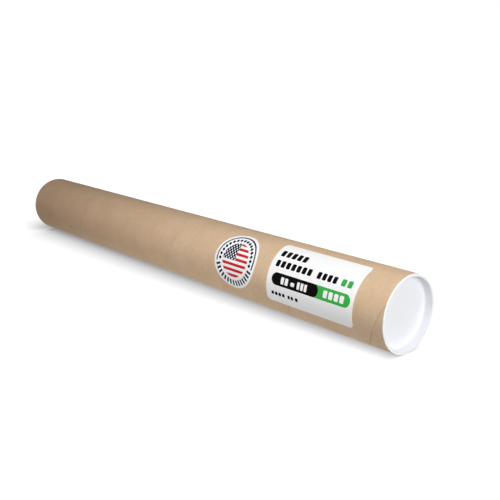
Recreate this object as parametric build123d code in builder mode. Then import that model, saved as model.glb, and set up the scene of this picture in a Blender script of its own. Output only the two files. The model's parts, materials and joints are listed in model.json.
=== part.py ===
from build123d import *
from math import ceil, cos, radians, sin, tan
import os

# A spiral-wound kraft mailing tube, closed at each end by a push-in moulded plug.
# The tube stands on its bottom plug: Z runs along its axis, and Z = 0 is the face it stands on.
# Lengths are in millimetres. Names that end in _deg are angles, measured about Z from +X.

# Tube: sold by its inside diameter, 4 in by 36 in, with a 0.08 in wall
tube_length = 914.4
tube_bore = 101.6
tube_wall = 2.03

# Butt seam, where the edges of the outer ply meet: an open left-hand helix along the whole tube.
# It passes +X at seam_drop below the top end.
seam_lead = 143.0
seam_gap = 0.9
seam_depth = 0.35
seam_drop = 11.2

# Plug: a thin moulded cup with a flange that seats on the cut end of the tube
flange_thickness = 1.4
flange_inset = 0.15
plug_depth = 12.5
plug_wall = 1.3
plug_floor = 1.3
plug_corner = 3.0
plug_draft_deg = 2.0
edge_break = 0.4
lead_in = 2.4

# Barbed grip ring round the skirt, which runs against the bore
ring_clearance = 0.1
ring_height = 0.4
ring_depth = 2.8
ring_ramp = 4.6

# Paper label with rounded corners, measured flat, glued round the tube near its top end
glue_film = 0.05
label_length = 157.0
label_width = 93.0
label_corner = 6.5
label_thickness = 0.15
label_end_gap = 47.5
label_turn_deg = -27.5

# Round sticker, measured flat, glued below the label
sticker_diameter = 89.0
sticker_thickness = 0.12
sticker_gap = 28.0
sticker_turn_deg = -23.5

# How far a cutting solid runs past what it cuts, and the steps of a turned corner
cut_overrun = 5.0
corner_steps = 3

# Places and radii that follow from the sizes above
bore_radius = tube_bore / 2
tube_radius = bore_radius + tube_wall
tube_bottom = flange_thickness
tube_top = tube_bottom + tube_length
flange_radius = tube_radius - flange_inset
paper_radius = tube_radius + glue_film
label_middle = tube_top - label_end_gap - label_length / 2
sticker_middle = label_middle - label_length / 2 - sticker_gap - sticker_diameter / 2


def outward(turn_deg):
    """Direction out of the wall at an angle about the axis."""
    return Vector(1, 0, 0).rotate(Axis.Z, turn_deg)


def wall_view(height, turn_deg):
    """Plane through the axis that looks straight at the wall, with its X along the tube."""
    return Plane((0, 0, height), x_dir=(0, 0, 1), z_dir=outward(turn_deg))


def band_plane(height, turn_deg):
    """Plane across the tube, turned so that a circle on it starts behind the paper."""
    return Plane((0, 0, height), x_dir=-outward(turn_deg), z_dir=(0, 0, 1))


def across_view(around):
    """Where a point that lies this far round the glued surface falls across a flat view of it."""
    return paper_radius * sin(around / paper_radius)


def plug_section(seat):
    """Half section of a plug. The seat plane lies along the axis, and its Y points out of the tube."""
    draft = radians(plug_draft_deg)
    ring_radius = bore_radius - ring_clearance
    skirt_radius = ring_radius - ring_height
    mouth_radius = skirt_radius - plug_wall
    floor_top = plug_floor - plug_depth

    def drafted(radius, depth):
        """Point at a depth below the seat on a drafted wall that has this radius at the seat."""
        return (radius - depth * tan(draft), -depth)

    ring_foot = drafted(skirt_radius, ring_depth + ring_ramp)
    ring_crest = (ring_radius, -ring_depth)
    ring_back = drafted(skirt_radius, ring_depth)

    # The floor meets the wall in a round corner, turned in a few straight steps
    corner_middle = floor_top + plug_corner
    wall_foot = drafted(mouth_radius, plug_corner * sin(draft) - corner_middle)
    corner_centre = wall_foot[0] - plug_corner * cos(draft)
    corner = []
    for step in range(corner_steps + 1):
        turn = draft + (radians(90) - draft) * step / corner_steps
        corner.append((corner_centre + plug_corner * cos(turn), corner_middle - plug_corner * sin(turn)))

    skirt_foot = drafted(skirt_radius, plug_depth)
    flange_edge = (flange_radius, flange_thickness)
    mouth_edge = drafted(mouth_radius, -flange_thickness)
    with BuildSketch(seat) as section:
        with BuildLine():
            skirt = [(0, -plug_depth), skirt_foot, ring_foot, ring_crest, ring_back, (skirt_radius, 0)]
            flange = [(flange_radius, 0), flange_edge, mouth_edge]
            Polyline(*skirt, *flange, *corner, (0, floor_top), close=True)
        make_face()
        for edge, bevel in ((skirt_foot, lead_in), (flange_edge, edge_break), (mouth_edge, edge_break)):
            chamfer(section.vertices().sort_by_distance(edge)[0], bevel)
    return section.sketch


# Tube wall, then the seam in it, cut one turn at a time from below the tube to above it
turns_up = ceil((tube_length - seam_drop + cut_overrun) / seam_lead)
turns_over = ceil((seam_drop + cut_overrun) / seam_lead)
seam_foot = tube_top - seam_drop - turns_up * seam_lead
with BuildPart() as kraft_tube:
    with BuildSketch(Plane.XY.offset(tube_bottom)):
        Circle(tube_radius)
        Circle(bore_radius, mode=Mode.SUBTRACT)
    extrude(amount=tube_length)
    for turn in range(turns_up + turns_over):
        with BuildLine(Plane.XY.offset(seam_foot + turn * seam_lead)) as seam_turn:
            Helix(seam_lead, seam_lead, tube_radius, lefthand=True)
        with BuildSketch(Plane(seam_turn.line @ 0, x_dir=(1, 0, 0), z_dir=seam_turn.line % 0)):
            with BuildLine():
                Polyline((-seam_depth, 0), (seam_depth, seam_gap), (seam_depth, -seam_gap), close=True)
            make_face()
        sweep(path=seam_turn.line, is_frenet=True, mode=Mode.SUBTRACT)
kraft_tube.part.label = "kraft_tube"

# Plugs: the same moulding at both ends, with its open side out
with BuildPart() as top_plug:
    top_seat = Plane((0, 0, tube_top), x_dir=(1, 0, 0), z_dir=(0, -1, 0))
    revolve(plug_section(top_seat), axis=Axis.Z)
top_plug.part.label = "top_plug"

with BuildPart() as bottom_plug:
    bottom_seat = Plane((0, 0, tube_bottom), x_dir=(1, 0, 0), z_dir=(0, 1, 0))
    revolve(plug_section(bottom_seat), axis=Axis.Z)
bottom_plug.part.label = "bottom_plug"

# The papers are bands of the glued surface, cut to their outline in a flat view along their middle.
# Wrapping keeps sizes along the tube and narrows those across it.
label_half = label_length / 2
label_side = across_view(label_width / 2)
label_corner_across = label_side - across_view(label_width / 2 - label_corner)
with BuildPart() as paper_label:
    with BuildSketch(wall_view(label_middle, label_turn_deg)):
        with BuildLine():
            Line((0, label_side), (label_half - label_corner, label_side))
            corner_centre = (label_half - label_corner, label_side - label_corner_across)
            EllipticalCenterArc(corner_centre, label_corner, label_corner_across, arc_size=90)
            Line((label_half, label_side - label_corner_across), (label_half, 0))
            mirror(about=Plane.XZ)
            mirror(about=Plane.YZ)
        make_face()
    extrude(amount=paper_radius + cut_overrun)
    with BuildSketch(band_plane(label_middle, label_turn_deg)):
        Circle(paper_radius + label_thickness)
        Circle(paper_radius, mode=Mode.SUBTRACT)
    extrude(amount=label_half + cut_overrun, both=True, mode=Mode.INTERSECT)
paper_label.part.label = "paper_label"

sticker_radius = sticker_diameter / 2
with BuildPart() as round_sticker:
    with BuildSketch(wall_view(sticker_middle, sticker_turn_deg)):
        Ellipse(sticker_radius, across_view(sticker_radius))
    extrude(amount=paper_radius + cut_overrun)
    with BuildSketch(band_plane(sticker_middle, sticker_turn_deg)):
        Circle(paper_radius + sticker_thickness)
        Circle(paper_radius, mode=Mode.SUBTRACT)
    extrude(amount=sticker_radius + cut_overrun, both=True, mode=Mode.INTERSECT)
round_sticker.part.label = "round_sticker"

os.makedirs("parts", exist_ok=True)
for piece in (kraft_tube, top_plug, bottom_plug, paper_label, round_sticker):
    export_step(piece.part, f"parts/{piece.part.label}.step")
    size = piece.part.bounding_box().size
    print(piece.part.label, "volume", round(piece.part.volume), "size", size)
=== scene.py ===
# %% [markdown]
# # A spiral-wound mailing tube
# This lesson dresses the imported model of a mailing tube: a long tube of wound kraft paper, a moulded
# plug pushed into each end, a paper label and a round sticker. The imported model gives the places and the
# sizes. Each step says what a piece or a finish is on the real tube, how it could be made, and why it is
# made this way. Lengths are in metres, and a name that ends in _mm is in millimetres.

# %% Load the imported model
import json
from functools import partial
from math import atan, ceil, degrees, hypot, pi, radians, sin, tan

import bmesh
import bpy
from mathutils import Matrix, Vector


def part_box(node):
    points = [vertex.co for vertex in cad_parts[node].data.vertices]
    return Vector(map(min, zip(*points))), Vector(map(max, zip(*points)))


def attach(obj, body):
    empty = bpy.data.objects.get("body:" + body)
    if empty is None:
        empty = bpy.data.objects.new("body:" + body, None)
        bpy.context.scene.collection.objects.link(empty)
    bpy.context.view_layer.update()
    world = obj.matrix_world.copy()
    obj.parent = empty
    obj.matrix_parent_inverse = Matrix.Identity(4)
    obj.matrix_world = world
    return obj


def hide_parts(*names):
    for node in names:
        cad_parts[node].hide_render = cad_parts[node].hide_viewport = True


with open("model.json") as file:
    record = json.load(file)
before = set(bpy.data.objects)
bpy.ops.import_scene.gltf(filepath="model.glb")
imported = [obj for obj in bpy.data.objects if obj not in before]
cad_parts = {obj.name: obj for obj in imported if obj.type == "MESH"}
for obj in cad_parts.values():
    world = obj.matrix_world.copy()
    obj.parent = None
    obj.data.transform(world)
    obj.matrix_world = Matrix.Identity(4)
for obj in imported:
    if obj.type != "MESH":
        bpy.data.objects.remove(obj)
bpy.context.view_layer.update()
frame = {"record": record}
scene = bpy.context.scene
scene.view_settings.view_transform = "Standard"
MM = 0.001

# %% [markdown]
# The tube stands on its bottom plug, and its axis is Z. Its outside radius is one of the model's mounts,
# so it is read from there, and its two cut ends come from the node's box. Only the wall is written down,
# because a box doesn't show it.

# %% Read the sizes that the pieces share
mounts = {mount["name"]: mount for mount in frame["record"]["mounts"]}
tube_radius = mounts["outer_wall"]["dims"]["r_mm"] * MM
tube_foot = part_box("kraft_tube")[0].z
tube_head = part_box("kraft_tube")[1].z
tube_wall = 2.03 * MM
bore_radius = tube_radius - tube_wall
round_columns = 144
print(f"tube {tube_head - tube_foot:.4f} long, radius {tube_radius:.5f}, bore radius {bore_radius:.5f}")

# %% [markdown]
# A few helpers serve every step. A colour is written as the hex value that a picture program shows, and
# one function turns it into the linear light that Blender computes with. One function adds a node with
# its settings and links, in a shader and in a Geometry Nodes tree alike. A finish is built up like coats of
# paint, so one more lays tones over a colour in turn.

# %% Helpers for colours and nodes
def linear(hex_colour):
    """Linear RGBA of an sRGB hex colour."""
    shares = [int(hex_colour[place:place + 2], 16) / 255 for place in (1, 3, 5)]
    lights = [share / 12.92 if share <= 0.04045 else ((share + 0.055) / 1.055) ** 2.4 for share in shares]
    return (*lights, 1.0)


def add_node(tree, kind, *values, named=None, **settings):
    """Add a node, set its properties, and feed its inputs with values, sockets or other nodes."""
    node = tree.nodes.new(kind)
    for setting, value in settings.items():
        setattr(node, setting, value)
    inputs = dict(enumerate(values)) | (named or {})
    for place, value in inputs.items():
        source = value.outputs[0] if isinstance(value, bpy.types.Node) else value
        if isinstance(source, bpy.types.NodeSocket):
            tree.links.new(source, node.inputs[place])
        elif source is not None:
            node.inputs[place].default_value = source
    return node


def start_material(name):
    """New empty material and its node adder."""
    material = bpy.data.materials.new(name)
    material.use_nodes = True
    material.node_tree.nodes.clear()
    return material, partial(add_node, material.node_tree)


def layered(node, colour, layers):
    """Colour with tones laid over it in turn, each by its share from 0 to 1."""
    for share, tone in layers:
        # Inputs 6 and 7 of a mix are its colours, and output 2 is the mixed one
        mix = node("ShaderNodeMix", data_type="RGBA", named={0: share, 6: colour, 7: linear(tone)})
        colour = mix.outputs[2]
    return colour


print("middle grey is", round(linear("#808080")[0], 3), "in linear light")

# %% [markdown]
# Pieces that follow a rule are grown by Geometry Nodes. A tree has a named input for each size, so that
# one tree can make several pieces. What it grows is then kept as a plain mesh, because an export drops
# instances, and smoothed but for its sharp edges.

# %% Helpers for Geometry Nodes
socket_kinds = {float: "NodeSocketFloat", int: "NodeSocketInt", bpy.types.Material: "NodeSocketMaterial"}
sharp_angle = radians(32)


def start_tree(name, sizes):
    """New Geometry Nodes tree with a named input for each size, its node adder and its input sockets."""
    tree = bpy.data.node_groups.new(name, "GeometryNodeTree")
    for size, value in sizes.items():
        tree.interface.new_socket(size, in_out="INPUT", socket_type=socket_kinds[type(value)])
    tree.interface.new_socket("Geometry", in_out="OUTPUT", socket_type="NodeSocketGeometry")
    node = partial(add_node, tree)
    return tree, node, node("NodeGroupInput").outputs


def new_piece(name, mesh=None):
    """New object at the origin, in the scene."""
    piece = bpy.data.objects.new(name, mesh or bpy.data.meshes.new(name))
    scene.collection.objects.link(piece)
    return piece


def grow(name, tree, sizes):
    """New object whose shape a tree makes from these sizes."""
    piece = new_piece(name)
    modifier = piece.modifiers.new(tree.name, "NODES")
    modifier.node_group = tree
    for socket in tree.interface.items_tree:
        if socket.in_out == "INPUT":
            modifier[socket.identifier] = sizes[socket.name]
    return piece


def plain_mesh(piece):
    """Turn a piece's evaluated modifiers into a plain mesh, smooth but for its sharp edges."""
    evaluated = piece.evaluated_get(bpy.context.evaluated_depsgraph_get())
    mesh = bpy.data.meshes.new_from_object(evaluated)
    piece.modifiers.clear()
    piece.data = mesh
    mesh.shade_smooth()
    mesh.set_sharp_from_angle(angle=sharp_angle)
    mesh.calc_loop_triangles()
    print(piece.name, "has", len(mesh.loop_triangles), "triangles")
    return piece


print("edges over", round(degrees(sharp_angle)), "degrees stay sharp")

# %% [markdown]
# The wall is wound from strips of brown kraft paper, glued at a slant round a rod. The outer strip's edges
# meet in an open seam, a helix that falls once round the tube over its lead. The same sizes draw the
# seam's groove and turn the paper's grain, so they come first, for the material and the shape.

# %% Sizes of the winding
seam_lead = 143.0 * MM
seam_gap = 0.9 * MM
seam_depth = 0.35 * MM
seam_drop = 11.2 * MM
girth = 2 * pi * tube_radius
turn_length = hypot(girth, seam_lead)
ply_width = seam_lead * girth / turn_length
seam_skew = seam_lead * seam_lead / turn_length
print(f"strip {ply_width / MM:.1f} mm wide, wound at {degrees(atan(seam_lead / girth)):.1f} degrees")

# %% [markdown]
# Kraft paper is unbleached wood pulp: a warm tan sheet with soft clouds where the pulp lies thicker, long
# faint streaks along the strip, and short fibres, some darker and some paler. It is dull, with a faint
# tooth. A photograph could be wrapped round the tube, but nodes keep the pattern sharp at any distance.
# The strip has its own UV map in metres, so streaks and fibres follow the winding.

# %% Patterns of kraft paper
cloud_size = 40 * MM
mottle_size = 6 * MM
streak_size = (70 * MM, 1.5 * MM)
# Fibres are near 0.03 mm wide, and are drawn some ten times coarser so that they show
fibre_size = (2.4 * MM, 0.5 * MM)
# How far the painted shade of the seam's groove reaches from the strip's edge
seam_shade_reach = 1.4 * MM
ply_count = 5


def strip_noise(node, strip, size, **noise):
    """Noise drawn out along the wound strip, to a length and a width."""
    place = node("ShaderNodeMapping", strip, named={"Scale": (1 / size[0], 1 / size[1], 1.0)})
    return node("ShaderNodeTexNoise", place, named={"Scale": 1.0, **noise})


def seam_painted_shade(node, strip):
    """Share of the shade painted beside the open seam, strongest at the strip's edge."""
    across = node("ShaderNodeSeparateXYZ", strip).outputs["Y"]
    ply_share = node("ShaderNodeMath", across, ply_width, operation="DIVIDE")
    from_edge = node("ShaderNodeMath", ply_share, 1.0, operation="PINGPONG")
    return node("ShaderNodeMapRange", from_edge, 0.0, seam_shade_reach / ply_width, 0.55, 0.0)


def cut_end(node, spot):
    """Shares of the cut ends, and of the lines of glue that part the plies on them."""
    flat = node("ShaderNodeVectorMath", spot["Object"], (1.0, 1.0, 0.0), operation="MULTIPLY")
    radius = node("ShaderNodeVectorMath", flat, operation="LENGTH").outputs["Value"]
    ply_angle = node("ShaderNodeMath", radius, 2 * pi * ply_count / tube_wall, operation="MULTIPLY")
    ply_wave = node("ShaderNodeMath", ply_angle, operation="SINE")
    glue_lines = node("ShaderNodeMapRange", ply_wave, 0.3, 1.0, 0.0, 0.7)
    facing = node("ShaderNodeSeparateXYZ", spot["Normal"]).outputs["Z"]
    endways = node("ShaderNodeMath", facing, operation="ABSOLUTE")
    cut_share = node("ShaderNodeMath", endways, 0.7, operation="GREATER_THAN")
    return cut_share, node("ShaderNodeMath", glue_lines, cut_share, operation="MULTIPLY")


print(f"{ply_count} plies of {tube_wall / ply_count / MM:.2f} mm show on the cut ends")

# %% Kraft paperboard
# The paper's tooth is finer than this, and is drawn coarser so that it shows
tooth_size = 0.8 * MM
tooth_height = 0.06 * MM


def kraft_paperboard():
    """Dull tan paper with clouds, streaks and fibres; cut ends show the glued plies."""
    material, node = start_material("wound kraft paperboard")
    spot = node("ShaderNodeTexCoord").outputs
    strip = node("ShaderNodeUVMap", uv_map="ply")
    clouds = node("ShaderNodeTexNoise", spot["Object"], named={"Scale": 1 / cloud_size, "Detail": 3.0})
    mottle = node("ShaderNodeTexNoise", spot["Object"], named={"Scale": 1 / mottle_size, "Detail": 4.0})
    streaks = strip_noise(node, strip, streak_size, Detail=3.0)
    fibres = strip_noise(node, strip, fibre_size, Detail=2.0, Distortion=1.5)
    cut_share, glue_share = cut_end(node, spot)
    colour = layered(node, linear("#d7ba99"), [
        (node("ShaderNodeMapRange", clouds, 0.35, 0.65), "#dfc2a3"),
        (node("ShaderNodeMapRange", mottle, 0.3, 0.7, 0.0, 0.35), "#cdae8a"),
        (node("ShaderNodeMapRange", streaks, 0.45, 0.8, 0.0, 0.28), "#c09e79"),
        (node("ShaderNodeMapRange", fibres, 0.62, 0.75, 0.0, 0.4), "#997550"),
        (node("ShaderNodeMapRange", fibres, 0.38, 0.25, 0.0, 0.4), "#f2e0ca"),
        # Painted shade: a dark line beside the seam stands in for the shade in its groove
        (seam_painted_shade(node, strip), "#7b5d3f"),
        (cut_share, "#c4a784"),
        (glue_share, "#7d603e")])

    # A faint tooth, and the relief of the streaks
    tooth = node("ShaderNodeTexNoise", spot["Object"], named={"Scale": 1 / tooth_size, "Detail": 3.0})
    relief = node("ShaderNodeMath", streaks, 0.6, tooth, operation="MULTIPLY_ADD")
    bump = node("ShaderNodeBump", named={"Strength": 0.35, "Distance": tooth_height, "Height": relief})
    roughness = node("ShaderNodeMapRange", mottle, 0.3, 0.7, 0.74, 0.86)
    surface = node("ShaderNodeBsdfPrincipled", named={
        "Base Color": colour, "Roughness": roughness, "Normal": bump, "Specular IOR Level": 0.12})
    node("ShaderNodeOutputMaterial", surface)
    return material


kraft = kraft_paperboard()
print(kraft.name, "has", len(kraft.node_tree.nodes), "nodes")

# %% [markdown]
# The tube could be a plain cylinder with the seam painted on, but the seam is a real groove that catches
# light and notches the cut ends. So the wall is grown by a rule: a grid whose columns go round the tube
# and whose rows climb along the winding, crowded towards the seam. Rows past an end are held at that end
# and welded there. Three more rows close the wall over the head, down the bore and back to the foot.

# %% Sizes of the wound tube
rows_per_turn = 24
closing_rows = 3
seam_head = tube_head - seam_drop
seam_foot = seam_head - seam_lead * ceil((seam_head - tube_foot) / seam_lead)
wound_turns = ceil((tube_head - seam_foot) / seam_lead) + 1
outer_rows = wound_turns * rows_per_turn
tube_sizes = {
    "Radius": tube_radius, "Bore": bore_radius, "Foot": tube_foot, "Head": tube_head,
    "Lead": seam_lead, "Ply Width": ply_width, "Turn Length": turn_length, "Skew": -seam_skew,
    "Seam Foot": seam_foot, "Seam Reach": seam_gap / 2, "Seam Depth": seam_depth,
    "Way Down": -wound_turns * seam_lead, "Columns": round_columns + 1, "Outer Rows": outer_rows,
    "Rows": outer_rows + closing_rows, "Rows per Turn": rows_per_turn, "Weld": 0.02 * MM, "Paper": kraft}
print(f"{outer_rows} rows in {wound_turns} turns, from {seam_foot / MM:.1f} mm")

# %% Rule of the wound tube
tree, node, size = start_tree("wound tube", tube_sizes)

# Places on the grid: turns round the tube, and the row that climbs along it
corner = node("ShaderNodeSeparateXYZ", node("GeometryNodeInputPosition"))
turn = node("ShaderNodeMath", corner.outputs["X"], 0.5, operation="ADD")
row_share = node("ShaderNodeMath", corner.outputs["Y"], 0.5, operation="ADD")
row_place = node("ShaderNodeMath", row_share, size["Rows"], operation="MULTIPLY")
row = node("ShaderNodeMath", row_place, operation="ROUND")

# The first two closing rows lie in the bore, and the wall turns down between them
turning_row = node("ShaderNodeMath", size["Outer Rows"], 1.5, operation="ADD")
in_bore = node("ShaderNodeMath", row, turning_row, 1.0, operation="COMPARE")
going_down = node("ShaderNodeMath", row, turning_row, operation="GREATER_THAN")

# Height: even winding, bent so that rows crowd towards each seam, then held between foot and head
crowding = 0.99
winding = node("ShaderNodeMath", row, size["Rows per Turn"], operation="DIVIDE")
swing_angle = node("ShaderNodeMath", winding, 2 * pi, operation="MULTIPLY")
swing = node("ShaderNodeMath", swing_angle, operation="SINE")
crowded = node("ShaderNodeMath", swing, -crowding / (2 * pi), winding, operation="MULTIPLY_ADD")
turns_up = node("ShaderNodeMath", crowded, turn, operation="SUBTRACT")
climb = node("ShaderNodeMath", turns_up, size["Lead"], size["Seam Foot"], operation="MULTIPLY_ADD")
level = node("ShaderNodeMath", going_down, size["Way Down"], climb, operation="MULTIPLY_ADD")
height = node("ShaderNodeClamp", level, size["Foot"], size["Head"])
print("rule of the height has", len(tree.nodes), "nodes")

# %% Groove and bore of the wound tube
rise = node("ShaderNodeMath", height, size["Seam Foot"], operation="SUBTRACT")
leads = node("ShaderNodeMath", rise, size["Lead"], operation="DIVIDE")
phase = node("ShaderNodeMath", leads, turn, operation="ADD")
seam_number = node("ShaderNodeMath", phase, operation="ROUND")
seam_off = node("ShaderNodeMath", phase, seam_number, operation="SUBTRACT")
seam_away = node("ShaderNodeMath", seam_off, operation="ABSOLUTE")
seam_distance = node("ShaderNodeMath", seam_away, size["Ply Width"], operation="MULTIPLY")
dip = node("ShaderNodeMapRange", seam_distance, 0.0, size["Seam Reach"], size["Seam Depth"], 0.0)
outside = node("ShaderNodeMath", size["Radius"], dip, operation="SUBTRACT")
radius = node("ShaderNodeMix", named={0: in_bore, 2: outside, 3: size["Bore"]})
arm = node("ShaderNodeCombineXYZ", radius, 0.0, height)
angle = node("ShaderNodeMath", turn, 2 * pi, operation="MULTIPLY")
wall_point = node("ShaderNodeVectorRotate", arm, named={"Angle": angle}, rotation_type="Z_AXIS")
print("with groove and bore it has", len(tree.nodes), "nodes")

# %% Grain of the wound tube
# Metres along the strip and across it, one strip after the other on the outside
on_outside = node("ShaderNodeMath", 1.0, in_bore, operation="SUBTRACT")
whole_strips = node("ShaderNodeMath", phase, operation="FLOOR")
strip_number = node("ShaderNodeMath", whole_strips, on_outside, operation="MULTIPLY")
strip_share = node("ShaderNodeMath", phase, strip_number, operation="SUBTRACT")
across = node("ShaderNodeMath", strip_share, size["Ply Width"], operation="MULTIPLY")
strip_turns = node("ShaderNodeMath", turn, strip_number, operation="SUBTRACT")
strip_way = node("ShaderNodeMath", strip_turns, size["Turn Length"], operation="MULTIPLY")
along = node("ShaderNodeMath", strip_share, size["Skew"], strip_way, operation="MULTIPLY_ADD")
grain = node("ShaderNodeCombineXYZ", along, across, 0.0)

grid_rows = node("ShaderNodeMath", size["Rows"], 1.0, operation="ADD")
grid = node("GeometryNodeMeshGrid", 1.0, 1.0, size["Columns"], grid_rows)
grained = node("GeometryNodeStoreNamedAttribute", grid, None, "ply", grain,
               data_type="FLOAT2", domain="CORNER")
wound = node("GeometryNodeSetPosition", grained, None, wall_point)
welded = node("GeometryNodeMergeByDistance", wound, None, size["Weld"])
realized = node("GeometryNodeRealizeInstances", welded)
papered = node("GeometryNodeSetMaterial", realized, None, size["Paper"])
node("NodeGroupOutput", papered)
wound_tube = plain_mesh(grow("wound_tube", tree, tube_sizes))

# %% [markdown]
# Each plug is a cup moulded in white polyethylene, a plastic that shines softly and lets light a little way
# in. It could be one flat white, but its thin cup lies over the dark bore, so it looks a little greyer
# than the rim on the cut end. That is painted in: the rim is painted lighter, a painted highlight, and the
# cup keeps a painted shade. A share that grows with the radius gives that, and faint clouds show how the
# plastic flowed.

# %% Moulded polyethylene
flow_size = 25 * MM
rim_highlight_blend = 0.6 * MM
# The mould's texture is finer than this, and is drawn coarser so that it shows
grit_size = 1.2 * MM
grit_height = 0.05 * MM


def moulded_polyethylene():
    """Milky white plastic with a soft sheen; light of every colour creeps a little way into it."""
    material, node = start_material("moulded polyethylene")
    spot = node("ShaderNodeTexCoord").outputs["Object"]
    flow = node("ShaderNodeTexNoise", spot, named={"Scale": 1 / flow_size, "Detail": 2.0})
    flat = node("ShaderNodeVectorMath", spot, (1.0, 1.0, 0.0), operation="MULTIPLY")
    radius = node("ShaderNodeVectorMath", flat, operation="LENGTH").outputs["Value"]
    # Painted highlight: the rim on the cut end is painted lighter than the cup, which stays greyer as painted
    # shade
    rim_painted_highlight = node("ShaderNodeMapRange", radius, bore_radius - rim_highlight_blend, bore_radius)
    tint = layered(node, linear("#eaecf0"), [(flow, "#eff1f5"), (rim_painted_highlight, "#fafafb")])
    grit = node("ShaderNodeTexNoise", spot, named={"Scale": 1 / grit_size, "Detail": 2.0})
    bump = node("ShaderNodeBump", named={"Strength": 0.12, "Distance": grit_height, "Height": grit})
    roughness = node("ShaderNodeMapRange", grit, 0.3, 0.7, 0.28, 0.38)
    surface = node("ShaderNodeBsdfPrincipled", named={
        "Base Color": tint, "Roughness": roughness, "Normal": bump, "IOR": 1.51,
        "Subsurface Weight": 0.15, "Subsurface Radius": (1.0, 1.0, 1.0), "Subsurface Scale": 2 * MM})
    node("ShaderNodeOutputMaterial", surface)
    return material


polyethylene = moulded_polyethylene()
print(polyethylene.name, "has", len(polyethylene.node_tree.nodes), "nodes")

# %% [markdown]
# The plug's flange seats on the cut end, its skirt carries a barbed ring that grips the bore, and its floor
# lies deep inside the rim. A mould leaves no sharp edge. The cup could be cut from a solid, but it is a
# turned shape, so its half outline is written down with the radius of each corner, and spun round the axis.

# %% Sizes of a plug
ring_clearance = 0.1 * MM
ring_height = 0.4 * MM
ring_depth = 2.8 * MM
ring_ramp = 4.6 * MM
flange_inset = 0.15 * MM
flange_thickness = tube_foot
plug_depth = tube_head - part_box("top_plug")[0].z
plug_wall = 1.3 * MM
plug_floor = 1.3 * MM
plug_corner = 3.0 * MM
plug_draft = radians(2)
lead_in = 2.4 * MM
soft_edge = 0.45 * MM
ring_radius = bore_radius - ring_clearance
skirt_radius = ring_radius - ring_height
mouth_radius = skirt_radius - plug_wall
flange_radius = tube_radius - flange_inset
print(f"plug {plug_depth / MM:.1f} mm deep, flange radius {flange_radius / MM:.2f} mm")

# %% Half outline of a plug
def drafted(wall_radius, depth):
    """Radius of a drafted wall at a depth below the seat, where it has this radius at the seat."""
    return wall_radius - depth * tan(plug_draft)


# Radius, height over the seat and rounding of each corner, from the underside's middle round to the floor's
ring_foot = ring_depth + ring_ramp
foot_height = plug_depth - lead_in
plug_corners = [
    (0.0, -plug_depth, 0.0),
    (drafted(skirt_radius, plug_depth) - lead_in, -plug_depth, 2 * soft_edge),
    (drafted(skirt_radius, foot_height), -foot_height, 2 * soft_edge),
    (drafted(skirt_radius, ring_foot), -ring_foot, 0.0),
    (ring_radius, -ring_depth, soft_edge / 3),
    (drafted(skirt_radius, ring_depth), -ring_depth, 0.0),
    (skirt_radius, 0.0, 0.0),
    (flange_radius, 0.0, soft_edge / 3),
    (flange_radius, flange_thickness, soft_edge),
    (drafted(mouth_radius, -flange_thickness), flange_thickness, soft_edge),
    (drafted(mouth_radius, plug_depth - plug_floor), plug_floor - plug_depth, plug_corner),
    (0.0, plug_floor - plug_depth, 0.0)]


def rounded(corners, steps=6):
    """Outline through the corners, each turned by an arc of its radius."""
    outline = []
    for place, (radius, height, rounding) in enumerate(corners):
        tip = Vector((radius, height, 0.0))
        if not rounding:
            outline.append(tip)
            continue
        to_last = (Vector((*corners[place - 1][:2], 0.0)) - tip).normalized()
        to_next = (Vector((*corners[place + 1][:2], 0.0)) - tip).normalized()
        half_angle = to_last.angle(to_next) / 2
        centre = tip + (to_last + to_next).normalized() * rounding / sin(half_angle)
        arm_in = tip + to_last * rounding / tan(half_angle) - centre
        arm_out = tip + to_next * rounding / tan(half_angle) - centre
        outline += [centre + rounding * arm_in.slerp(arm_out, step / steps) for step in range(steps + 1)]
    return outline


plug_outline = rounded(plug_corners)
print("plug outline has", len(plug_outline), "points")

# %% Spin the two plugs
plug_weld = 0.002 * MM


def spun_plug(name, seat, outwards):
    """Plug turned round the axis from its half outline; outwards is +1 at the head, -1 at the foot."""
    shell = bmesh.new()
    ring = [shell.verts.new((point.x, 0.0, seat + outwards * point.y)) for point in plug_outline]
    edges = [shell.edges.new(pair) for pair in zip(ring, ring[1:])]
    bmesh.ops.spin(shell, geom=ring + edges, axis=(0, 0, 1), angle=2 * pi, steps=round_columns)
    bmesh.ops.remove_doubles(shell, verts=shell.verts, dist=plug_weld)
    bmesh.ops.recalc_face_normals(shell, faces=shell.faces)
    mesh = bpy.data.meshes.new(name)
    shell.to_mesh(mesh)
    shell.free()
    mesh.materials.append(polyethylene)
    return plain_mesh(new_piece(name, mesh))


head_plug = spun_plug("head_plug", tube_head, 1)
foot_plug = spun_plug("foot_plug", tube_foot, -1)

# %% [markdown]
# The label and the sticker are printed on white coated paper: smooth and even, with little gloss. A print
# could be a picture, but a picture blurs close up. Here each block and stripe is a formula on the flat
# sheet, whose UV map is in metres, so its edges stay sharp.

# %% Helpers for the print
paper_white = "#fafafa"
# The tooth of coated paper is finer than this, and is drawn coarser so that it shows
coat_tooth_size = 0.7 * MM
coat_tooth_height = 0.03 * MM


def bar_mask(node, spot, middle, size, corner):
    """1 inside a bar with rounded corners, 0 outside it."""
    arm = node("ShaderNodeVectorMath", spot, (*middle, 0.0), operation="SUBTRACT")
    reach = node("ShaderNodeVectorMath", arm, operation="ABSOLUTE")
    core = (size[0] / 2 - corner, size[1] / 2 - corner, 0.0)
    beyond = node("ShaderNodeVectorMath", reach, core, operation="SUBTRACT")
    outside = node("ShaderNodeVectorMath", beyond, (0.0, 0.0, 0.0), operation="MAXIMUM")
    distance = node("ShaderNodeVectorMath", outside, operation="LENGTH").outputs["Value"]
    return node("ShaderNodeMath", distance, corner, operation="LESS_THAN")


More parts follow.
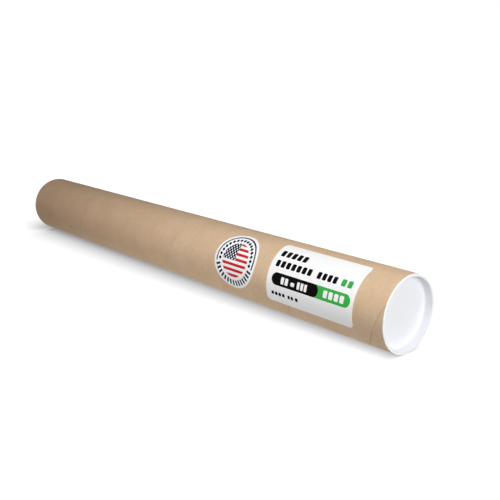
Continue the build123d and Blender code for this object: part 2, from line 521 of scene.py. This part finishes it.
def finish_paper(node, colour):
    """Coated paper in the print's colour: smooth, with little gloss and a fine tooth."""
    spot = node("ShaderNodeTexCoord").outputs["Object"]
    tooth = node("ShaderNodeTexNoise", spot, named={"Scale": 1 / coat_tooth_size, "Detail": 2.0})
    roughness = node("ShaderNodeMapRange", tooth, 0.3, 0.7, 0.42, 0.52)
    bump = node("ShaderNodeBump", named={"Strength": 0.1, "Distance": coat_tooth_height, "Height": tooth})
    surface = node("ShaderNodeBsdfPrincipled", named={
        "Base Color": colour, "Roughness": roughness, "Normal": bump, "Specular IOR Level": 0.02})
    node("ShaderNodeOutputMaterial", surface)


print("print helpers ready, paper is", paper_white)

# %% [markdown]
# The label's print is black and green: rows of plain blocks, and a pill that is black at one end and green
# at the other, with white blocks on it. Rows of blocks are written as numbers, and one function draws any
# row by wrapping the place along it into a single block.

# %% Print of the label
# Each row: left end, right end, middle height, block height and number of blocks, in mm on the flat label
headline_mm = [(-72, -20, 27.0, 10.5, 5), (-71, -1, 10.3, 10.0, 7), (7, 44, 10.3, 10.0, 4)]
small_mm = [(-69, -41, -32.5, 5.0, 4), (-37, -25, -32.5, 5.0, 2), (-22, -17, -32.5, 5.0, 1)]
green_mm = [(49, 70, 10.3, 10.0, 2)]
green_pill_mm = [(-69, 73, -11.5, 17.8, 1)]
black_pill_mm = [(-69, 18, -11.5, 17.8, 1)]
pill_blocks_mm = [(-52, -36, -12.0, 10.0, 2), (-32, -25, -13.0, 5.5, 1), (-21, -1, -12.0, 10.0, 3),
                  (26, 64, -11.5, 10.0, 4)]
# A block takes this share of its pitch, and a corner is a share of the block's smaller side
block_share = 0.72
block_corner = 0.25
pill_corner = 0.5


def row_mask(node, axes, row, corner_share):
    """1 inside a row of blocks with rounded corners, 0 outside it."""
    start, end, middle, height, blocks = row
    pitch = (end - start) / blocks * MM
    in_row = node("ShaderNodeMath", axes["X"], (start + end) / 2 * MM, (end - start) / 2 * MM,
                  operation="COMPARE")
    from_first = node("ShaderNodeMath", axes["X"], start * MM, operation="SUBTRACT")
    in_block = node("ShaderNodeMath", from_first, pitch, 0.0, operation="WRAP")
    spot = node("ShaderNodeCombineXYZ", in_block, axes["Y"], 0.0)
    width = pitch if blocks == 1 else pitch * block_share
    corner = corner_share * min(height * MM, width)
    mask = bar_mask(node, spot, (pitch / 2, middle * MM), (width, height * MM), corner)
    return node("ShaderNodeMath", mask, in_row, operation="MULTIPLY")


def label_paper():
    """White label: rows of dark and green blocks, and a pill in two colours."""
    material, node = start_material("printed label paper")
    axes = node("ShaderNodeSeparateXYZ", node("ShaderNodeUVMap", uv_map="paper")).outputs
    inks = [("#0c0c0c", headline_mm + small_mm, block_corner), ("#3fae4b", green_mm, block_corner),
            ("#3fb44c", green_pill_mm, pill_corner), ("#080808", black_pill_mm, pill_corner),
            (paper_white, pill_blocks_mm, block_corner)]
    layers = [(row_mask(node, axes, row, corner), ink) for ink, rows, corner in inks for row in rows]
    finish_paper(node, layered(node, linear(paper_white), layers))
    return material


label_coat = label_paper()
print(label_coat.name, "has", len(label_coat.node_tree.nodes), "nodes")

# %% [markdown]
# The sticker's print is a ring and a round field. The ring has a navy arc and a row of diamonds over its
# upper part and ticks round its foot. The field has red stripes, and a navy corner with white dots. Each
# mark is a formula of the radius and the angle, or of the two flat axes, on the sheet.

# %% Ring of the sticker
sticker_radius = 89.0 * MM / 2
navy = "#10153e"
arc_circle = 39.0 * MM
arc_width = 2.3 * MM
arc_end = radians(102)
diamond_circle = 32.4 * MM
diamond_reach = 3.1 * MM
diamond_step = radians(11.9)
tick_circle = 36.0 * MM
tick_size = (3.2 * MM, 8.8 * MM)
tick_start = radians(105)
tick_step = radians(10)


def ring_print(node, axes, radius):
    """Arc, diamonds and ticks of the ring, each with its ink."""
    # Angle away from the top of the print, to the right and to the left alike
    turned = node("ShaderNodeMath", axes["X"], axes["Y"], operation="ARCTAN2")
    away = node("ShaderNodeMath", turned, operation="ABSOLUTE")
    upper = node("ShaderNodeMath", away, arc_end, operation="LESS_THAN")
    lower = node("ShaderNodeMath", away, tick_start, operation="GREATER_THAN")
    on_arc = node("ShaderNodeMath", radius, arc_circle, arc_width / 2, operation="COMPARE")
    arc = node("ShaderNodeMath", on_arc, upper, operation="MULTIPLY")

    # A diamond stands where the ways round and along the radius add up to less than its reach
    step_turn = node("ShaderNodeMath", turned, diamond_step / 2, -diamond_step / 2, operation="WRAP")
    round_way = node("ShaderNodeMath", step_turn, diamond_circle, operation="MULTIPLY")
    round_reach = node("ShaderNodeMath", round_way, operation="ABSOLUTE")
    radial_way = node("ShaderNodeMath", radius, diamond_circle, operation="SUBTRACT")
    radial_reach = node("ShaderNodeMath", radial_way, operation="ABSOLUTE")
    reach = node("ShaderNodeMath", round_reach, radial_reach, operation="ADD")
    in_diamond = node("ShaderNodeMath", reach, diamond_reach, operation="LESS_THAN")
    diamonds = node("ShaderNodeMath", in_diamond, upper, operation="MULTIPLY")

    tick_turn = node("ShaderNodeMath", turned, tick_step / 2, -tick_step / 2, operation="WRAP")
    tick_way = node("ShaderNodeMath", tick_turn, radius, operation="MULTIPLY")
    tick_sides = node("ShaderNodeMath", tick_way, 0.0, tick_size[0] / 2, operation="COMPARE")
    tick_ends = node("ShaderNodeMath", radius, tick_circle, tick_size[1] / 2, operation="COMPARE")
    in_tick = node("ShaderNodeMath", tick_sides, tick_ends, operation="MULTIPLY")
    ticks = node("ShaderNodeMath", in_tick, lower, operation="MULTIPLY")
    return [(arc, navy), (diamonds, navy), (ticks, navy)]


ring_inside = diamond_circle - diamond_reach
print(f"sticker radius {sticker_radius / MM:.1f} mm, ring from {ring_inside / MM:.1f} mm outwards")

# %% Field of the sticker
red = "#cf2d34"
field_radius = 26.6 * MM
stripe_width = 4.1 * MM
stripe_middle = 0.5 * MM
corner_right = 0.5 * MM
corner_foot = -1.6 * MM
# The dots are set on slanted axes, where lengths are longer by the root of two
dot_pitch = 6.2 * MM
dot_reach = 1.8 * MM


def field_print(node, axes, radius):
    """Stripes, corner and dots of the round field, each with its ink."""
    field = node("ShaderNodeMath", radius, field_radius, operation="LESS_THAN")
    stripe_height = node("ShaderNodeMath", axes["Y"], stripe_middle, operation="SUBTRACT")
    stripe_way = node("ShaderNodeMath", stripe_height, stripe_width, -stripe_width, operation="WRAP")
    in_stripe = node("ShaderNodeMath", stripe_way, 0.0, stripe_width / 2, operation="COMPARE")
    stripes = node("ShaderNodeMath", in_stripe, field, operation="MULTIPLY")

    left = node("ShaderNodeMath", axes["X"], corner_right, operation="LESS_THAN")
    over = node("ShaderNodeMath", axes["Y"], corner_foot, operation="GREATER_THAN")
    in_corner = node("ShaderNodeMath", left, over, operation="MULTIPLY")
    corner = node("ShaderNodeMath", in_corner, field, operation="MULTIPLY")

    rising = node("ShaderNodeMath", axes["X"], axes["Y"], operation="ADD")
    falling = node("ShaderNodeMath", axes["X"], axes["Y"], operation="SUBTRACT")
    rise_way = node("ShaderNodeMath", rising, dot_pitch / 2, -dot_pitch / 2, operation="WRAP")
    fall_way = node("ShaderNodeMath", falling, dot_pitch / 2, -dot_pitch / 2, operation="WRAP")
    dot_arm = node("ShaderNodeCombineXYZ", rise_way, fall_way, 0.0)
    dot_distance = node("ShaderNodeVectorMath", dot_arm, operation="LENGTH").outputs["Value"]
    in_dot = node("ShaderNodeMath", dot_distance, dot_reach, operation="LESS_THAN")
    dots = node("ShaderNodeMath", in_dot, corner, operation="MULTIPLY")
    return [(stripes, red), (corner, navy), (dots, paper_white)]


print(f"field radius {field_radius / MM:.1f} mm, stripes {stripe_width / MM:.1f} mm wide")

# %% Print of the sticker
def sticker_paper():
    """White sticker: a ring of navy marks round a field of stripes with a dotted corner."""
    material, node = start_material("printed sticker paper")
    spot = node("ShaderNodeUVMap", uv_map="paper")
    axes = node("ShaderNodeSeparateXYZ", spot).outputs
    radius = node("ShaderNodeVectorMath", spot, operation="LENGTH").outputs["Value"]
    layers = ring_print(node, axes, radius) + field_print(node, axes, radius)
    finish_paper(node, layered(node, linear(paper_white), layers))
    return material


sticker_coat = sticker_paper()
print(sticker_coat.name, "has", len(sticker_coat.node_tree.nodes), "nodes")

# %% [markdown]
# Both papers are glued flat round the tube and follow one rule: a sheet of a length, a width and a corner
# radius, rolled onto the wall. A round sticker is the same sheet with a corner as large as its radius. A
# flat sheet could be bent by a modifier, but a Geometry Nodes tree bends a grid by the rule itself, and
# stores the flat place of each corner, in metres, as the UV map that the print reads.

# %% Sizes of the papers
glue_film = 0.05 * MM
label_length = 157.0 * MM
label_width = 93.0 * MM
label_corner = 6.5 * MM
label_thickness = 0.15 * MM
label_turn = radians(-27.5)
sticker_thickness = 0.12 * MM
sticker_turn = radians(-23.5)
sheet_columns = 65
sheet_rows = 49


def paper_sizes(solid, length, width, corner, thickness, turn, paper):
    """Inputs for a paper that is glued round the tube at the height of its solid."""
    low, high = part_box(solid)
    return {"Half Length": length / 2, "Half Width": width / 2, "Corner": corner,
            "Radius": tube_radius + glue_film + thickness, "Middle": (low.z + high.z) / 2, "Turn": turn,
            "Columns": sheet_columns, "Rows": sheet_rows, "Weld": 0.01 * MM, "Paper": paper}


label_sizes = paper_sizes("paper_label", label_length, label_width, label_corner, label_thickness,
                          label_turn, label_coat)
sticker_sizes = paper_sizes("round_sticker", 2 * sticker_radius, 2 * sticker_radius, sticker_radius,
                            sticker_thickness, sticker_turn, sticker_coat)
print(f"label middle at {label_sizes['Middle']:.4f}, sticker middle at {sticker_sizes['Middle']:.4f}")

# %% Rule of a glued paper
tree, node, size = start_tree("glued paper", label_sizes)
corner = node("ShaderNodeSeparateXYZ", node("GeometryNodeInputPosition"))

# Columns crowd towards both ends, where the outline turns
end_angle = node("ShaderNodeMath", corner.outputs["X"], pi, operation="MULTIPLY")
end_share = node("ShaderNodeMath", end_angle, operation="SINE")
lengthways = node("ShaderNodeMath", end_share, size["Half Length"], operation="MULTIPLY")

# The half width falls by a quarter circle where a column lies past the straight sides
straight = node("ShaderNodeMath", size["Half Length"], size["Corner"], operation="SUBTRACT")
reach = node("ShaderNodeMath", lengthways, operation="ABSOLUTE")
over_straight = node("ShaderNodeMath", reach, straight, operation="SUBTRACT")
past = node("ShaderNodeMath", over_straight, 0.0, operation="MAXIMUM")
past_square = node("ShaderNodeMath", past, past, operation="MULTIPLY")
corner_square = node("ShaderNodeMath", size["Corner"], size["Corner"], operation="MULTIPLY")
left_square = node("ShaderNodeMath", corner_square, past_square, operation="SUBTRACT")
side_square = node("ShaderNodeMath", left_square, 0.0, operation="MAXIMUM")
side = node("ShaderNodeMath", side_square, operation="SQRT")
inset = node("ShaderNodeMath", size["Corner"], side, operation="SUBTRACT")
half_here = node("ShaderNodeMath", size["Half Width"], inset, operation="SUBTRACT")
width_share = node("ShaderNodeMath", corner.outputs["Y"], 2.0, operation="MULTIPLY")
sideways = node("ShaderNodeMath", width_share, half_here, operation="MULTIPLY")
print("rule of the flat sheet has", len(tree.nodes), "nodes")

# %% Roll the sheet onto the wall
height = node("ShaderNodeMath", lengthways, size["Middle"], operation="ADD")
arm = node("ShaderNodeCombineXYZ", size["Radius"], 0.0, height)
roll = node("ShaderNodeMath", sideways, size["Radius"], operation="DIVIDE")
angle = node("ShaderNodeMath", size["Turn"], roll, operation="SUBTRACT")
wall_point = node("ShaderNodeVectorRotate", arm, named={"Angle": angle}, rotation_type="Z_AXIS")
grid = node("GeometryNodeMeshGrid", 1.0, 1.0, size["Columns"], size["Rows"])
flat_place = node("ShaderNodeCombineXYZ", lengthways, sideways, 0.0)
placed = node("GeometryNodeStoreNamedAttribute", grid, None, "paper", flat_place,
              data_type="FLOAT2", domain="CORNER")
rolled = node("GeometryNodeSetPosition", placed, None, wall_point)
welded = node("GeometryNodeMergeByDistance", rolled, None, size["Weld"])
realized = node("GeometryNodeRealizeInstances", welded)
papered = node("GeometryNodeSetMaterial", realized, None, size["Paper"])
node("NodeGroupOutput", papered)


def glued_paper(name, sizes, thickness):
    """Paper of a thickness, rolled onto the tube by the tree."""
    piece = grow(name, tree, sizes)
    solid = piece.modifiers.new("thickness", "SOLIDIFY")
    solid.thickness = thickness
    solid.offset = -1
    return plain_mesh(piece)


label_sheet = glued_paper("label_sheet", label_sizes, label_thickness)
sticker_sheet = glued_paper("sticker_sheet", sticker_sizes, sticker_thickness)

# %% [markdown]
# Every piece now rides on the body that carries it, and stands for the solid that it replaces, which is
# hidden. The plugs ride on their own bodies, because they pull out.

# %% Set the pieces on their bodies
for piece, body, solid, slot in (
        (wound_tube, "tube", "kraft_tube", "kraft_board"),
        (head_plug, "top_plug", "top_plug", "plug_plastic"),
        (foot_plug, "bottom_plug", "bottom_plug", "plug_plastic"),
        (label_sheet, "tube", "paper_label", "label_paper"),
        (sticker_sheet, "tube", "round_sticker", "sticker_paper")):
    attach(piece, body)
    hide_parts(solid)
    print(piece.name, "rides on", body)

# %% [markdown]
# The camera sees the tube lying on its side, with the head end near and to the right, so up in the picture
# is -Y. The tube could be turned to lie down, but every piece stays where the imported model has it, so the
# camera is rolled instead.

# %% Camera
def looking(place, target, up):
    """Matrix of a camera or lamp at a place, turned to a target."""
    back = (Vector(place) - Vector(target)).normalized()
    right = Vector(up).cross(back).normalized()
    turned = Matrix((right, back.cross(right), back)).transposed().to_4x4()
    return Matrix.Translation(place) @ turned


picture_up = (0.0, -1.0, 0.0)
camera_place = (0.7206, -0.32087, 1.4190)
camera_target = (0.0, -0.0225, 0.6184)
camera_lens_mm = 52.29
camera_sensor_mm = 36.0
camera = bpy.data.objects.new("camera", bpy.data.cameras.new("camera"))
scene.collection.objects.link(camera)
camera.matrix_world = looking(camera_place, camera_target, picture_up)
camera.data.lens = camera_lens_mm
camera.data.sensor_width = camera_sensor_mm
scene.camera = camera
print("camera", [round(value, 3) for value in camera.location])

# %% [markdown]
# The tube lies on a white sheet in a studio. A plain white plane could catch its shadow, but it would turn
# grey far off and tint the tube from below. So the floor glows white, and dims by how much of the tube
# stands close over each place, which is how a soft shadow falls off. The shadow is wider and deeper at the
# foot, away from the lamps, and deepest beside the foot's end. Only the camera and reflections see the
# floor, and only from its front.

# %% Sizes of the shadow
# Reach is how far off the tube still shades a place, and depth is the power that its shade is raised to
foot_reach = 1.55 * tube_radius
head_reach = 0.3 * tube_radius
end_reach = 2.8 * tube_radius
end_length = 0.2
foot_depth = 0.58
head_depth = 0.30
end_depth = 3.0
# Beside the foot's end the depth fades along the tube and across it, between these places
end_zone = (-25 * MM, 28 * MM)
end_width = (12 * MM, 90 * MM)
darkest_share = 0.26
sheet_glow = 1.14
print(f"shadow reaches {foot_reach / MM:.0f} mm at the foot and {head_reach / MM:.0f} mm at the head")

# %% Glow of the floor
def seen_directly(node):
    """1 on rays that the camera, a reflection or a clear material sends, 0 on rays of soft light."""
    path = node("ShaderNodeLightPath").outputs
    mirrored = node("ShaderNodeMath", path["Is Glossy Ray"], path["Is Transmission Ray"], operation="MAXIMUM")
    return node("ShaderNodeMath", path["Is Camera Ray"], mirrored, operation="MAXIMUM")


def studio_floor():
    """White floor that darkens where the tube lies close; clear from behind and to soft light."""
    material, node = start_material("white studio floor")
    spot = node("ShaderNodeSeparateXYZ", node("ShaderNodeTexCoord").outputs["Object"]).outputs
    along = spot["Z"]
    long_part = node("ShaderNodeMapRange", along, tube_foot, tube_head, foot_reach, head_reach)
    end_part = node("ShaderNodeMapRange", along, tube_foot, end_length, end_reach, 0.0)
    reach = node("ShaderNodeMath", long_part, end_part, operation="MAXIMUM")
    long_depth = node("ShaderNodeMapRange", along, tube_foot, tube_head, foot_depth, head_depth)
    past_end = node("ShaderNodeMapRange", along, *end_zone, end_depth, 0.0)
    beside = node("ShaderNodeMapRange", spot["X"], *end_width, 1.0, 0.0)
    corner_depth = node("ShaderNodeMath", past_end, beside, operation="MULTIPLY")
    depth = node("ShaderNodeMath", long_depth, corner_depth, operation="MAXIMUM")
    open_share = node("ShaderNodeAmbientOcclusion", named={"Distance": reach}, samples=16).outputs["AO"]
    shade = node("ShaderNodeMath", open_share, depth, operation="POWER")
    held = node("ShaderNodeMath", shade, darkest_share, operation="MAXIMUM")
    glow_share = node("ShaderNodeMath", held, sheet_glow, operation="MULTIPLY")
    glow = node("ShaderNodeEmission", linear("#ffffff"), glow_share)
    behind = node("ShaderNodeNewGeometry").outputs["Backfacing"]
    shown = node("ShaderNodeMath", seen_directly(node), behind, operation="SUBTRACT", use_clamp=True)
    surface = node("ShaderNodeMixShader", shown, node("ShaderNodeBsdfTransparent"), glow)
    node("ShaderNodeOutputMaterial", surface)
    return material


floor_glow = studio_floor()
print(floor_glow.name, "has", len(floor_glow.node_tree.nodes), "nodes")

# %% Floor
floor_half = 4.0
floor_gap = 0.2 * MM
floor_y = tube_radius + floor_gap
floor_corners = [(x * floor_half, floor_y, z * floor_half) for x, z in ((-1, -1), (1, -1), (1, 1), (-1, 1))]
floor_mesh = bpy.data.meshes.new("floor")
floor_mesh.from_pydata(floor_corners, [], [(0, 1, 2, 3)])
floor_mesh.materials.append(floor_glow)
floor = new_piece("floor", floor_mesh)
print("floor normal", tuple(floor_mesh.polygons[0].normal))

# %% [markdown]
# The room is an even white, bright to the eye and weak as a light. Soft boxes stand in front of the tube,
# over its head end and before the near plug, so that it falls off darker towards its foot, where a weak
# warm lamp tints the shade. A low lamp gives back the light of the white sheet, and two more keep the back
# and the underside clear.

# %% Room
room_light = 0.146
world = bpy.data.worlds.new("white studio room")
world.use_nodes = True
world.node_tree.nodes.clear()
node = partial(add_node, world.node_tree)
room_lift = node("ShaderNodeMath", seen_directly(node), 1 - room_light, room_light, operation="MULTIPLY_ADD")
room = node("ShaderNodeBackground", linear("#ffffff"), room_lift)
node("ShaderNodeOutputWorld", room)
scene.world = world
print(world.name, "lights with", room_light)

# %% Lamps
def soft_lamp(name, place, target, sides, watts, tint="#ffffff"):
    """Rectangular soft lamp, turned to a target."""
    lamp = bpy.data.lights.new(name, "AREA")
    lamp.shape = "RECTANGLE"
    lamp.size, lamp.size_y = sides
    lamp.energy = watts
    lamp.color = linear(tint)[:3]
    light = bpy.data.objects.new(name, lamp)
    scene.collection.objects.link(light)
    light.matrix_world = looking(place, target, picture_up)
    print(name, "of", watts, "W at", place)


soft_lamp("front lamp", place=(0.611, -0.222, 0.60), target=(0.0, 0.0, 0.60), sides=(0.4, 0.4), watts=1.72)
soft_lamp("top lamp", place=(0.148, -0.837, 0.92), target=(0.0, 0.0, 0.92), sides=(0.4, 0.4), watts=2.63)
soft_lamp("end lamp", place=(0.30, -0.38, 1.9), target=(0.0, 0.0, 0.9), sides=(0.5, 0.5), watts=11.2)
soft_lamp("low lamp", place=(-0.08, 0.85, 0.6), target=(0.0, 0.0, 0.6), sides=(0.5, 0.7), watts=4.1)
soft_lamp("back lamp", place=(-0.77, 0.36, 0.5), target=(0.0, 0.0, 0.5), sides=(0.4, 0.8), watts=2.6)
soft_lamp("warm lamp", place=(0.45, -0.25, 0.2), target=(0.0, 0.0, 0.02), sides=(0.3, 0.3), watts=0.09,
          tint="#ff5a2a")
soft_lamp("foot lamp", place=(0.0, 0.0, -0.9), target=(0.0, 0.0, 0.0), sides=(0.1, 0.1), watts=6.0)
